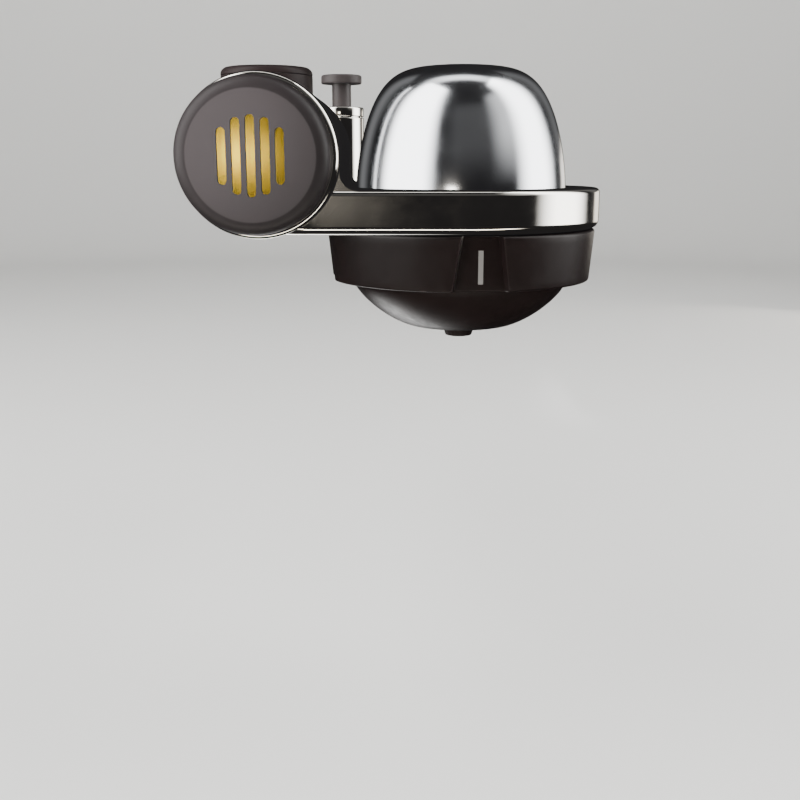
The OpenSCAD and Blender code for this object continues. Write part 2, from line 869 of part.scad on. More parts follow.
// Ring in the cover that holds the basket and carries the bayonet's lugs
module holder_ring() {
    seat_z = basket_top - basket_wall - 0.05;
    color("silver") at_head() difference() {
        union() {
            rod(neck_ring_r, sieve_low + fit_gap, neck_ring_top);
            lugs();
        }
        rod(basket_flange_r + 0.3, seat_z, neck_ring_top + past);
        rod(basket_r + 0.1, sieve_low - past, neck_ring_top);
    }
}

// Upright bar in the front recess, from mark_depth under the recess's floor to out beyond it
module index_bar(out) {
    low = (cover_top + pad_low - mark_h) / 2 - 0.75;
    rotate(recess_angle) translate([recess_floor_r - mark_depth, -mark_w / 2, low])
        cube([mark_depth + out, mark_w, mark_h]);
}

// Light index mark let into the front recess
module index_mark() {
    color("whitesmoke") at_head() index_bar(0.05);
}

module pod_basket() {
    color("silver") at_head() difference() {
        union() {
            rod(basket_r, basket_low, basket_top);
            rod(basket_flange_r, basket_top - basket_wall, basket_top);
        }
        rod(basket_r - basket_wall, basket_low + basket_wall, basket_top + past);
        hole_rings(sieve_rings, screen_pitch, 0.5, basket_low - past, basket_low + past);
    }
}

// Ribbed disc under the basket that gathers the coffee
module lower_sieve() {
    color("gray") at_head() difference() {
        rod(basket_r, sieve_low + 0.02, basket_low - 0.02);
        for (i = [0:7]) rotate(45 * i) translate([11, 0, 0])
            rod(3.2, sieve_low - past, basket_low + past);
        rod(4, sieve_low - past, basket_low + past);
    }
}

module outlet_seal() {
    color("firebrick") at_head() tube(nozzle_r + 0.6, nozzle_bore + 0.6, funnel_low + 0.9, funnel_low + 1.6);
}

module outlet_nozzle() {
    color([0.15, 0.13, 0.13]) at_head() difference() {
        union() {
            rod(nozzle_r, bowl_bottom - 0.5, funnel_low + 0.88);
            translate([0, 0, nozzle_low])
                cylinder(r1 = nozzle_tip_r, r2 = nozzle_r, h = bowl_bottom - nozzle_low);
        }
        rod(nozzle_bore, nozzle_low - past, funnel_low + 2 * past);
    }
}

body_casting();
end_cap();
badge_plate();
reservoir_plug();
plug_seal();
plug_circlip();
cylinder_tube();
cylinder_seal();
cylinder_gland();
gland_wiper();
stroke_stop_ring();
check_valve_seat();
check_valve_cage();
check_disc();
gauge_housing();
gauge_bezel();
gauge_glass();
gauge_dial();
gauge_movement();
gauge_stem();
gauge_washer();
gauge_needle();
valve_cap_nut();
valve_seat();
stem_seal();
valve_spring();
button_head();
button_stem();
valve_poppet();
dome_shell();
dome_gasket();
dome_clamp_ring();
dome_screws();
air_tube();
shower_screen();
group_gasket();
bayonet_ring();
portafilter_cover();
holder_ring();
index_mark();
pod_basket();
lower_sieve();
outlet_seal();
outlet_nozzle();
handle_tube();
handle_grip();
handle_bush();
handle_end_cap();
handle_screw();
piston_rod();
piston_head();
piston_seal();
piston_nut();
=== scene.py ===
"""Looks of the hand-pumped pod coffee machine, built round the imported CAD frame.

Shapes are given in mm and scaled by MM when their meshes are made. The barrel runs along Y with its end cap
towards -Y and the pump handle towards +Y; the round head with the dome and the portafilter is at +X.
"""
import json
import math

import bmesh
import bpy
from mathutils import Matrix, Vector

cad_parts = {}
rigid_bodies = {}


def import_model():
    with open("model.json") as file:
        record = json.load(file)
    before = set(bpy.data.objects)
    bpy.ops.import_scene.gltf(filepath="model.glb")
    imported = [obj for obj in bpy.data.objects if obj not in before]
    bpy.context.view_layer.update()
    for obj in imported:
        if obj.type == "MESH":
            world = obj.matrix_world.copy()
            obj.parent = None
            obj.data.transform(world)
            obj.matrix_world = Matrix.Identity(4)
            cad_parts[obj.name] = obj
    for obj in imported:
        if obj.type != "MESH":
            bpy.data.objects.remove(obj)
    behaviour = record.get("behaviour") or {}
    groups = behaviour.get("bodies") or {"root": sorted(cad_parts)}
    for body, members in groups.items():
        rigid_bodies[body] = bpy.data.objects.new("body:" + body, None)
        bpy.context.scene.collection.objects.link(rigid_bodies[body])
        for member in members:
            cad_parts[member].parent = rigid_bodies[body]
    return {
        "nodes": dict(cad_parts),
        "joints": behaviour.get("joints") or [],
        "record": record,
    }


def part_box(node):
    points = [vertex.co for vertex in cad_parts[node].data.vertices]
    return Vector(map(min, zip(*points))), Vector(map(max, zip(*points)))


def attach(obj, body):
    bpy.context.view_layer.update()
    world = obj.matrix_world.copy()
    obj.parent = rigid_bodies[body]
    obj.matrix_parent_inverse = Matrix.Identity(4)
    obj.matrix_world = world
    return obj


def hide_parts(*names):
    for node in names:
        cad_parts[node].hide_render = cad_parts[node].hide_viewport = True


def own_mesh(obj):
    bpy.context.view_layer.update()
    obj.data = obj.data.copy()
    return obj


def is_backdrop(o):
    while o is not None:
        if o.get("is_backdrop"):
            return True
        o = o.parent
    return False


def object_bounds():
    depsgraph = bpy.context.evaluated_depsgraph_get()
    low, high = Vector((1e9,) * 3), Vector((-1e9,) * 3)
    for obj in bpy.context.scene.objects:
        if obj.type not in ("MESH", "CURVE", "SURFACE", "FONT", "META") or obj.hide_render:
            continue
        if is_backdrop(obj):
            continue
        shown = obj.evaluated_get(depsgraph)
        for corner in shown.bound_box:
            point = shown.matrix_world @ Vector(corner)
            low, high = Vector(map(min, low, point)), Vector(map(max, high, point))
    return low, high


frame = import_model()
cad_low, cad_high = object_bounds()

MM = 0.001
TURN = 2 * math.pi


# ---------- sizes, all in mm, read from the CAD ----------

def box_mm(node):
    """Lowest and highest corner of a CAD node, in mm."""
    low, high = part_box(node)
    return [v / MM for v in low], [v / MM for v in high]


def joint_named(name):
    """The frame's entry for a joint."""
    for joint in frame["joints"]:
        if joint["name"] == name:
            return joint
    raise ValueError(name)


def joint_place(name):
    """Where a hinge stands, in mm."""
    return [v / MM for v in joint_named(name)["pos_m"]]


def radius_of(low, high):
    """Radius of a round node from its box."""
    return (high[0] - low[0]) / 2


casting_low, casting_high = box_mm("body_casting")
cap_low, cap_high = box_mm("end_cap")
dome_low, dome_high = box_mm("dome_shell")
cover_low = box_mm("portafilter_cover")[0]
grip_low, grip_high = box_mm("handle_grip")
handle_cap_low, handle_cap_high = box_mm("handle_end_cap")
nut_low, nut_high = box_mm("valve_cap_nut")
button_low, button_high = box_mm("button_head")
housing_low, housing_high = box_mm("gauge_housing")
bezel_low, bezel_high = box_mm("gauge_bezel")
dial_low, dial_high = box_mm("gauge_dial")
needle_low, needle_high = box_mm("gauge_needle")

HEAD = joint_place("portafilter_turn")
GAUGE = joint_place("gauge_turn")
TOWER = [(nut_low[0] + nut_high[0]) / 2, (nut_low[1] + nut_high[1]) / 2, 0]
# The barrel: a wide collar in front and a narrower neck behind, which the handle slides over.
BARREL_R = -casting_low[0]
COLLAR_FRONT = casting_low[1]
NECK_BACK = casting_high[1]
NECK_R = 17.0
COLLAR_BACK = -NECK_BACK
CAP_R = radius_of(cap_low, cap_high)
# The head ring, with the radii of its upper and lower edges, and the dome on it.
RING_R = casting_high[0] - HEAD[0]
RING_LOW = box_mm("bayonet_ring")[0][2]
DOME_SEAT = box_mm("dome_gasket")[0][2]
RING_TOP = DOME_SEAT + 2.0
RING_EDGE = 1.2
RING_LOW_EDGE = 2.0
DOME_R = radius_of(dome_low, dome_high)
DOME_H = dome_high[2] - RING_TOP
# The tower that holds the button's valve.
TOWER_R = radius_of(nut_low, nut_high)
TOWER_TOP = 10.5


# ---------- mesh building ----------

def rounded(corners, steps=6, closed=False):
    """Outline through corners (x, y, radius), with each corner rounded by its radius."""
    points = []
    count = len(corners)
    for i, (x, y, radius) in enumerate(corners):
        if radius <= 0 or (not closed and i in (0, count - 1)):
            points.append((x, y))
            continue
        here = Vector((x, y))
        before = (Vector(corners[i - 1][:2]) - here).normalized()
        after = (Vector(corners[(i + 1) % count][:2]) - here).normalized()
        half = before.angle(after) / 2
        centre = here + (before + after).normalized() * (radius / math.sin(half))
        start = here + before * (radius / math.tan(half)) - centre
        end = here + after * (radius / math.tan(half)) - centre
        sweep = math.atan2(start.cross(end), start.dot(end))
        for k in range(steps + 1):
            turned = start.copy()
            turned.rotate(Matrix.Rotation(sweep * k / steps, 2))
            points.append(tuple(centre + turned))
    return points


def finish_mesh(name, bm, sharp_deg=35.0):
    """Object from a bmesh, with smooth faces and sharp edges above an angle."""
    bmesh.ops.remove_doubles(bm, verts=bm.verts, dist=1e-7)
    bmesh.ops.recalc_face_normals(bm, faces=bm.faces)
    mesh = bpy.data.meshes.new(name)
    bm.to_mesh(mesh)
    bm.free()
    mesh.shade_smooth()
    mesh.set_sharp_from_angle(angle=math.radians(sharp_deg))
    piece = bpy.data.objects.new(name, mesh)
    bpy.context.scene.collection.objects.link(piece)
    return piece


def skin(name, rings, closed=False, sharp_deg=35.0):
    """Closed surface through rings of points in mm; a ring of one point is a pole."""
    bm = bmesh.new()
    rows = [[bm.verts.new(Vector(p) * MM) for p in ring] for ring in rings]
    pairs = list(zip(rows, rows[1:]))
    if closed:
        pairs.append((rows[-1], rows[0]))
    for a, b in pairs:
        around = max(len(a), len(b))
        for k in range(around):
            n = (k + 1) % around
            corners = [a[0]] if len(a) == 1 else [a[k], a[n]]
            corners += [b[0]] if len(b) == 1 else [b[n], b[k]]
            if len(corners) > 2:
                bm.faces.new(corners)
    return finish_mesh(name, bm, sharp_deg)


def onto_axis(axis, at):
    """Function that puts (radius, height, angle) onto a turning axis through at."""
    def place(r, h, a):
        u, v = r * math.cos(a), r * math.sin(a)
        if axis == "Z":
            return (at[0] + u, at[1] + v, h)
        return (at[0] + u, h, at[2] + v)
    return place


def lathe(name, outline, axis="Z", at=(0, 0, 0), steps=144, closed=False, sharp_deg=35.0):
    """Turned piece from an outline of (radius, height) points about an axis."""
    place = onto_axis(axis, at)
    rings = []
    for r, h in outline:
        if r < 1e-6:
            rings.append([place(0, h, 0)])
        else:
            rings.append([place(r, h, TURN * k / steps) for k in range(steps)])
    return skin(name, rings, closed, sharp_deg)


def stack(name, rings):
    """Solid through rings of equal length in mm, with a flat face over the first and the last."""
    bm = bmesh.new()
    rows = [[bm.verts.new(Vector(p) * MM) for p in ring] for ring in rings]
    for a, b in zip(rows, rows[1:]):
        count = len(a)
        for k in range(count):
            n = (k + 1) % count
            bm.faces.new([a[k], a[n], b[n], b[k]])
    bm.faces.new(rows[0][::-1])
    bm.faces.new(rows[-1])
    return finish_mesh(name, bm)


def flat(u, v, t):
    """Outline in the XY plane, depth along Z."""
    return (u, v, t)


def upright(u, v, t):
    """Outline in the XZ plane, depth along Y."""
    return (u, t, v)


def prism(name, outline, to_point, low, high):
    """Straight prism of a 2D outline; to_point(x, y, t) gives the point at depth t."""
    return stack(name, [[to_point(x, y, t) for x, y in outline] for t in (low, high)])


def bake_modifiers(piece):
    """Replace a piece's mesh by its evaluated mesh."""
    graph = bpy.context.evaluated_depsgraph_get()
    mesh = bpy.data.meshes.new_from_object(piece.evaluated_get(graph))
    piece.modifiers.clear()
    old = piece.data
    piece.data = mesh
    mesh.name = piece.name
    bpy.data.meshes.remove(old)


def combine(piece, tools, operation):
    """Boolean a list of tool objects into a piece and remove the tools."""
    for tool in tools:
        step = piece.modifiers.new("combine", "BOOLEAN")
        step.operation = operation
        step.solver = "EXACT"
        step.object = tool
        bake_modifiers(piece)
        bpy.data.objects.remove(tool)
    return piece


def soften(piece, width, angle_deg=50.0, segments=2):
    """Small rounded bevel along the piece's sharp edges."""
    bevel = piece.modifiers.new("bevel", "BEVEL")
    bevel.width = width * MM
    bevel.segments = segments
    bevel.limit_method = "ANGLE"
    bevel.angle_limit = math.radians(angle_deg)
    bake_modifiers(piece)
    even_normals(piece)
    return piece


def even_normals(piece, sharp_deg=35.0):
    """Normals weighted by face area, so flat faces stay flat next to roundings."""
    piece.data.shade_smooth()
    piece.data.set_sharp_from_angle(angle=math.radians(sharp_deg))
    weighted = piece.modifiers.new("weighted", "WEIGHTED_NORMAL")
    weighted.keep_sharp = True
    weighted.weight = 90
    bake_modifiers(piece)


# ---------- materials ----------

class Recipe:
    """A node material being built: the shader and a few short ways to add nodes."""

    def __init__(self, name, colour, metallic, roughness):
        self.material = bpy.data.materials.new(name)
        self.material.use_nodes = True
        self.tree = self.material.node_tree
        self.shader = self.tree.nodes["Principled BSDF"]
        self.shader.inputs["Base Color"].default_value = (*colour, 1)
        self.shader.inputs["Metallic"].default_value = metallic
        self.shader.inputs["Roughness"].default_value = roughness
        self.place = self.node("ShaderNodeTexCoord").outputs["Object"]
        self.height = None

    def node(self, kind, **settings):
        """A new node with its properties set."""
        made = self.tree.nodes.new(kind)
        for key, value in settings.items():
            setattr(made, key, value)
        return made

    def link(self, out, into):
        self.tree.links.new(out, into)

    def noise(self, per_metre, detail, stretch=(1, 1, 1)):
        """Noise value with that many features to the metre."""
        mapping = self.node("ShaderNodeMapping")
        mapping.inputs["Scale"].default_value = stretch
        self.link(self.place, mapping.inputs["Vector"])
        noise = self.node("ShaderNodeTexNoise")
        noise.inputs["Scale"].default_value = per_metre
        noise.inputs["Detail"].default_value = detail
        noise.inputs["Roughness"].default_value = 0.55
        self.link(mapping.outputs["Vector"], noise.inputs["Vector"])
        return noise.outputs["Fac"]

    def span(self, value, low, high, from_low=0.3, from_high=0.7):
        """The value's middle range stretched to low..high."""
        ranged = self.node("ShaderNodeMapRange")
        limits = {"From Min": from_low, "From Max": from_high, "To Min": low, "To Max": high}
        for key, number in limits.items():
            ranged.inputs[key].default_value = number
        self.link(value, ranged.inputs["Value"])
        return ranged.outputs["Result"]

    def tint(self, value, dark, light):
        """Base colour between two colours by a value; gives the mix, for more to be put on it."""
        mix = self.node("ShaderNodeMix", data_type="RGBA")
        mix.inputs["A"].default_value = (*dark, 1)
        mix.inputs["B"].default_value = (*light, 1)
        self.link(value, mix.inputs["Factor"])
        self.link(mix.outputs["Result"], self.shader.inputs["Base Color"])
        return mix.outputs["Result"]

    def roughen(self, value):
        self.link(value, self.shader.inputs["Roughness"])

    def bump(self, value, strength, distance):
        """Add a bump; further calls stack on the first."""
        bump = self.node("ShaderNodeBump")
        bump.inputs["Strength"].default_value = strength
        bump.inputs["Distance"].default_value = distance
        self.link(value, bump.inputs["Height"])
        if self.height:
            self.link(self.height, bump.inputs["Normal"])
        self.height = bump.outputs["Normal"]
        self.link(self.height, self.shader.inputs["Normal"])

    def worn_edges(self, colour_from, worn, strength=0.6):
        """Blend a colour towards a worn one where the surface is convex."""
        pointy = self.node("ShaderNodeNewGeometry").outputs["Pointiness"]
        edge = self.span(pointy, 0.0, strength, from_low=0.53, from_high=0.60)
        mix = self.node("ShaderNodeMix", data_type="RGBA")
        self.link(colour_from, mix.inputs["A"])
        mix.inputs["B"].default_value = (*worn, 1)
        self.link(edge, mix.inputs["Factor"])
        self.link(mix.outputs["Result"], self.shader.inputs["Base Color"])


def chrome():
    """Polished warm chrome with a slight ripple and hazy patches."""
    m = Recipe("chrome_body", (0.80, 0.78, 0.73), 1.0, 0.08)
    m.tint(m.noise(60, 3), (0.76, 0.73, 0.67), (0.84, 0.82, 0.77))
    m.roughen(m.span(m.noise(220, 6), 0.05, 0.12))
    m.bump(m.noise(9000, 2, (1, 0.12, 1)), 0.05, 0.00002)
    m.bump(m.noise(90, 2), 0.003, 0.0004)
    return m.material


def dome_metal():
    """Polished cool steel, spun, so its fine lines run round the dome."""
    m = Recipe("dome_steel", (0.82, 0.84, 0.87), 1.0, 0.12)
    m.tint(m.noise(45, 3), (0.76, 0.78, 0.82), (0.83, 0.85, 0.88))
    m.roughen(m.span(m.noise(150, 6), 0.12, 0.17))
    m.bump(m.noise(7000, 2, (1, 1, 0.08)), 0.03, 0.00002)
    return m.material


def rubbed(colour, gain, lift):
    """The paler colour that wear leaves on an edge."""
    return tuple(min(1.0, c * gain + lift) for c in colour)


def satin_plastic(name, dark, light, low, high, gloss):
    """Moulded plastic with a fine spark-eroded grain and paler rubbed edges."""
    m = Recipe(name, light, 0.0, (low + high) / 2)
    colour = m.tint(m.noise(120, 4), dark, light)
    m.worn_edges(colour, rubbed(light, 1.9, 0.01))
    m.roughen(m.span(m.noise(420, 5), low, high))
    m.bump(m.noise(5200, 2), 0.25, 0.00002)
    m.shader.inputs["Specular IOR Level"].default_value = gloss
    return m.material


def gold():
    """Gold plate brushed along Z."""
    m = Recipe("gold_plate", (0.90, 0.72, 0.28), 1.0, 0.22)
    m.tint(m.noise(160, 3), (1.0, 0.66, 0.055), (1.0, 0.71, 0.09))
    m.roughen(m.span(m.noise(900, 5, (1, 1, 0.05)), 0.20, 0.27))
    m.bump(m.noise(6000, 2, (1, 1, 0.04)), 0.05, 0.00002)
    return m.material


def turned_metal(name, dark, light, low=0.18, high=0.34):
    """Machined metal with fine turning marks across its axis."""
    lay = (1, 8, 1)
    m = Recipe(name, light, 1.0, (low + high) / 2)
    m.tint(m.noise(140, 4), dark, light)
    m.roughen(m.span(m.noise(500, 5, lay), low, high))
    m.bump(m.noise(1600, 3, lay), 0.02, 0.00003)
    return m.material


def rubber(name, dark, light):
    """Matt rubber with a soft pebbled surface and greyed edges."""
    m = Recipe(name, light, 0.0, 0.7)
    colour = m.tint(m.noise(200, 5), dark, light)
    m.worn_edges(colour, rubbed(light, 1.6, 0.015), strength=0.5)
    m.roughen(m.span(m.noise(600, 4), 0.55, 0.78))
    m.bump(m.noise(3800, 3), 0.35, 0.00003)
    m.shader.inputs["Sheen Weight"].default_value = 0.15
    m.shader.inputs["Specular IOR Level"].default_value = 0.2
    return m.material


def pale_plastic(name, dark, light):
    """Plain moulded plastic with a light grain."""
    m = Recipe(name, light, 0.0, 0.45)
    m.tint(m.noise(180, 4), dark, light)
    m.roughen(m.span(m.noise(700, 4), 0.38, 0.55))
    m.bump(m.noise(4200, 2), 0.15, 0.00002)
    return m.material


def lens_glass():
    """Clear glass with faint smears."""
    m = Recipe("clear_glass", (1.0, 1.0, 1.0), 0.0, 0.02)
    m.shader.inputs["Transmission Weight"].default_value = 1.0
    m.shader.inputs["IOR"].default_value = 1.45
    m.roughen(m.span(m.noise(260, 4), 0.01, 0.05))
    return m.material


def painted(name, dark, light):
    """Thin paint or ink with a little orange peel."""
    m = Recipe(name, light, 0.0, 0.35)
    m.tint(m.noise(300, 3), dark, light)
    m.roughen(m.span(m.noise(800, 4), 0.28, 0.42))
    m.bump(m.noise(2500, 2), 0.1, 0.00002)
    return m.material


LOOKS = {
    "chrome_body": chrome(),
    "dome_steel": dome_metal(),
    "cap_plastic": satin_plastic(
        "cap_plastic", (0.010, 0.0083, 0.0086), (0.014, 0.0115, 0.012), 0.38, 0.50, gloss=0.16),
    "trim_plastic": satin_plastic(
        "trim_plastic", (0.009, 0.0062, 0.0062), (0.013, 0.009, 0.009), 0.34, 0.46, gloss=0.08),
    # Cap plastic painted paler for the button: painted light in place of lamp light on it.
    "button_plastic_painted_light": satin_plastic(
        "button_plastic_painted_light", (0.038, 0.032, 0.032), (0.050, 0.042, 0.042), 0.36, 0.48, gloss=0.2),
    "cover_plastic": satin_plastic(
        "cover_plastic", (0.006, 0.0036, 0.0034), (0.010, 0.0062, 0.006), 0.30, 0.42, gloss=0.15),
    "gold_plate": gold(),
    "aluminium": turned_metal("aluminium", (0.70, 0.70, 0.71), (0.82, 0.82, 0.83), 0.28, 0.36),
    "steel": turned_metal("steel", (0.55, 0.55, 0.55), (0.68, 0.68, 0.67)),
    "brass": turned_metal("brass", (0.62, 0.44, 0.19), (0.76, 0.58, 0.28)),
    "black_rubber": rubber("black_rubber", (0.012, 0.012, 0.012), (0.022, 0.021, 0.020)),
    "red_rubber": rubber("red_rubber", (0.30, 0.035, 0.02), (0.38, 0.05, 0.03)),
    "white_plastic": pale_plastic("white_plastic", (0.74, 0.73, 0.69), (0.84, 0.83, 0.79)),
    "dial_face": pale_plastic("dial_face", (0.80, 0.79, 0.75), (0.88, 0.87, 0.83)),
    "needle_red": painted("needle_red", (0.55, 0.04, 0.02), (0.68, 0.07, 0.03)),
    "clear_glass": lens_glass(),
    "grip_rubber": rubber("grip_rubber", (0.008, 0.007, 0.007), (0.014, 0.0125, 0.0125)),
    "mark_grey": pale_plastic("mark_grey", (0.12, 0.115, 0.11), (0.17, 0.16, 0.155)),
    "dial_ink": painted("dial_ink", (0.010, 0.010, 0.012), (0.020, 0.020, 0.022)),
}

# Looks that are a variant of another slot's material. The button's look is the cap plastic painted paler:
# painted light that stands in for light the lamps don't give it.
SLOT_OF = {"dial_ink": "dial_face", "trim_plastic": "cap_plastic", "button_plastic_painted_light": "cap_plastic"}


def dress(piece, look, body, *nodes):
    """Give a piece its material, body and the CAD nodes that it stands for."""
    piece.data.materials.clear()
    piece.data.materials.append(LOOKS[look])
    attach(piece, body)
    if nodes:
        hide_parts(*nodes)
    SLOT_OF.get(look, look)
    return piece


# ---------- casting ----------

def plate_rings():
    """Rings of points over the arm and head ring, with rounded upper and lower edges."""
    edge = rounded([
        (0.0, RING_LOW, 0), (RING_R, RING_LOW, RING_LOW_EDGE), (RING_R, RING_TOP, RING_EDGE),
        (0.0, RING_TOP, 0)])[1:-1]
    turn_steps = 96
    straight_steps = 24
    along = [HEAD[0] * k / straight_steps for k in range(straight_steps)]
    rings = []
    for r, z in edge:
        ring = [(x, HEAD[1] - r, z) for x in along]
        for k in range(turn_steps + 1):
            a = -math.pi / 2 + math.pi * k / turn_steps
            ring.append((HEAD[0] + r * math.cos(a), HEAD[1] + r * math.sin(a), z))
        ring += [(x, HEAD[1] + r, z) for x in along[::-1]]
        rings.append(ring)
    return rings


def flank():
    """Hollow blend between the barrel's side and the arm's top, tangent to both.

    Its last point stands a hair proud of the barrel, so that the union has no faces in one plane.
    """
    radius, steps, proud, inset = 3.8, 20, 1.0006, 0.6
    cz = RING_TOP + radius
    cx = math.sqrt((BARREL_R + radius) ** 2 - cz ** 2)
    end = math.atan2(-cz, -cx)
    start = 1.5 * math.pi
    outline = [(BARREL_R - 4, cz + 1), (BARREL_R - 4, RING_TOP - 1), (cx, RING_TOP - 1)]
    for k in range(steps + 1):
        a = start + (end - start) * k / steps
        x = (cx + radius * math.cos(a)) * (proud if k == steps else 1)
        outline.append((x, cz + radius * math.sin(a)))
    return prism("flank", outline, upright, HEAD[1] - RING_R + inset, HEAD[1] + RING_R - inset)


def casting_bores():
    """Cutters for the barrel's bore, the gauge's pocket, the dome's seat and the tower's bore."""
    cap_seat, reservoir_end, clear = COLLAR_FRONT + 5, COLLAR_FRONT + 10.7, 25
    mouth = lathe("mouth", [
        (0, 20), (13.0, 20), (13.0, -10), (5.0, -10), (5.0, -24), (14.2, -24), (14.2, reservoir_end),
        (15.2, reservoir_end), (15.2, cap_seat), (CAP_R + 0.1, cap_seat), (CAP_R + 0.1, COLLAR_FRONT - 5),
        (0, COLLAR_FRONT - 5)], "Y", steps=192)
    pocket_r = radius_of(housing_low, housing_high) + 0.1
    pocket = lathe("pocket", [(0, 9.6), (pocket_r, 9.6), (pocket_r, clear), (0, clear)], "Z", GAUGE, 144)
    seat_r = DOME_R + 0.12
    seat = lathe("seat", [
        (0, -20), (28.5, -20), (28.5, -12.2), (18.5, -12.2), (18.5, DOME_SEAT), (seat_r, DOME_SEAT),
        (seat_r, 0), (0, 0)], "Z", HEAD, 144)
    notch_r = TOWER_R + 0.3
    notch = lathe("notch", [
        (0, TOWER_TOP), (notch_r, TOWER_TOP), (notch_r, clear), (0, clear)], "Z", TOWER, 96)
    bore_r = 4.2
    bore = lathe("bore", [(0, -6), (bore_r, -6), (bore_r, 12), (0, 12)], "Z", TOWER, 64)
    return [mouth, pocket, seat, notch, bore]


def casting():
    """Barrel, arm, head ring and valve tower in one piece, with their bores."""
    barrel = lathe("body_casting_shell", rounded([
        (0, COLLAR_FRONT, 0), (BARREL_R, COLLAR_FRONT, 1.0), (BARREL_R, COLLAR_BACK, 0.5),
        (NECK_R, COLLAR_BACK, 0.2), (NECK_R, NECK_BACK, 0.5), (0, NECK_BACK, 0)]), "Y", steps=192)
    foot_r, tower_top = 6.9, TOWER_TOP - 0.05
    tower = lathe("tower", rounded([
        (0, RING_TOP - 2, 0), (foot_r, RING_TOP - 2, 0), (foot_r, RING_TOP + 0.4, 0.4),
        (TOWER_R, RING_TOP + 1.4, 1.2), (TOWER_R, tower_top, 0.2), (0, tower_top, 0)]), "Z", TOWER, 96)
    combine(barrel, [stack("arm_plate", plate_rings()), flank(), tower], "UNION")
    combine(barrel, casting_bores(), "DIFFERENCE")
    even_normals(barrel, 28.0)
    return dress(barrel, "chrome_body", "machine", "body_casting")


# ---------- front of the barrel ----------

def cap_slots(front, depth):
    """Cutters for the cap's slots: upright bars with round ends inside one circle."""
    count, pitch, width, reach, end_steps = 5, 3.0, 1.9, 8.3, 12
    cutters = []
    for i in range(count):
        x = (i - (count - 1) / 2) * pitch
        half = math.sqrt(reach ** 2 - x ** 2) - width / 2
        outline = []
        for side, turned in ((1, 0), (-1, math.pi)):
            for k in range(end_steps + 1):
                a = math.pi * k / end_steps + turned
                outline.append((x + width / 2 * math.cos(a), side * half + width / 2 * math.sin(a)))
        cutters.append(prism(f"slot_{i}", outline, upright, front - 1, front + depth + 1))
    return cutters


# The cap's face is this thick over the badge plate; then the plate's radius.
FACE = 1.1
BADGE_R = 10.0


def end_cap():
    """Cap with a slotted face over the badge plate's round pocket."""
    front, back = cap_low[1], cap_high[1]
    inner_r, pocket_r, floor = CAP_R - 1.8, BADGE_R + 0.1, front + 3.4
    cap = lathe("end_cap_shell", rounded([
        (0, front, 0), (CAP_R, front, 3.0), (CAP_R, back, 0.3), (inner_r, back, 0.3), (inner_r, floor, 0.5),
        (pocket_r, floor, 0.2), (pocket_r, front + FACE, 0), (0, front + FACE, 0)],
        steps=12), "Y", steps=192)
    combine(cap, cap_slots(front, FACE), "DIFFERENCE")
    soften(cap, 0.12)
    return dress(cap, "cap_plastic", "machine", "end_cap")


def badge():
    """Gold disc behind the cap's slots."""
    front = cap_low[1] + FACE
    back = front + 1.0
    plate = lathe("badge_plate_disc", rounded([
        (0, front, 0), (BADGE_R, front, 0.15), (BADGE_R, back, 0.15), (0, back, 0)]), "Y", steps=96)
    return dress(plate, "gold_plate", "machine", "badge_plate")


# ---------- dome ----------

def dome_radius(t, radius):
    """Radius of the dome's outline at the share t of its height."""
    fall, roundness = 1.52, 4.6
    return radius * max(1 - t ** fall, 0) ** (1 / roundness)


def dome():
    """Spun dome with a foot turned inwards under it."""
    steps, wall, foot_r = 72, 1.2, 21.8
    foot, foot_top = dome_low[2], dome_low[2] + 1.0
    shares = [math.sin(math.pi / 2 * k / steps) for k in range(steps)]
    outside = [(dome_radius(t, DOME_R), RING_TOP + DOME_H * t) for t in shares]
    shrink = (DOME_H - wall) / DOME_H
    inside = [(max(r - wall, 0.5), RING_TOP + (z - RING_TOP) * shrink) for r, z in outside]
    outline = [(foot_r, foot_top), (foot_r, foot), (DOME_R - 0.3, foot), (DOME_R, foot + 0.3)]
    outline += outside + [(0, RING_TOP + DOME_H), (0, RING_TOP + DOME_H - wall)]
    outline += inside[::-1] + [(DOME_R - wall, foot_top)]
    shell = lathe("dome_shell_skin", outline, "Z", HEAD, 192, closed=True)
    return dress(shell, "dome_steel", "machine", "dome_shell")


# ---------- gauge ----------

def gauge():
    """Cup, snap-on bezel and lens of the pressure gauge."""
    r = radius_of(housing_low, housing_high)
    low, mid, top = housing_low[2], bezel_low[2], bezel_high[2]
    rim, ledge, floor = mid - 0.05, mid - 1.1, low + 1.2
    housing = lathe("gauge_housing_cup", rounded([
        (0, low, 0), (r, low, 0.5), (r, rim, 0.12), (r - 1.0, rim, 0.1), (r - 1.0, ledge, 0),
        (r - 1.6, ledge, 0), (r - 1.6, floor, 0.5), (0, floor, 0)]), "Z", GAUGE, 144)
    dress(housing, "trim_plastic", "machine", "gauge_housing")
    bezel = lathe("gauge_bezel_rim", rounded([
        (r - 2.2, mid + 0.02, 0.1), (r, mid + 0.02, 0.15), (r, top, 1.5), (r - 1.7, top - 0.05, 0.2),
        (r - 2.2, top - 0.6, 0.15)], steps=8, closed=True), "Z", GAUGE, 144, closed=True)
    dress(bezel, "trim_plastic", "machine", "gauge_bezel")
    glass_low = mid - 0.95
    glass = lathe("gauge_glass_lens", rounded([
        (0, glass_low, 0), (r - 1.1, glass_low, 0.15), (r - 1.1, rim, 0.15), (r - 2.4, mid, 0.3),
        (0, mid + 0.25, 0)]), "Z", GAUGE, 96)
    dress(glass, "clear_glass", "machine", "gauge_glass")


# The dial's scale in degrees: how far it goes round, and where its zero is.
SWEEP = 240.0
ZERO = SWEEP / 2 - 90


def on_dial(outline, angle):
    """An outline drawn along +X, turned about the gauge's middle."""
    cos, sin = math.cos(angle), math.sin(angle)
    return [(GAUGE[0] + x * cos - y * sin, GAUGE[1] + x * sin + y * cos) for x, y in outline]


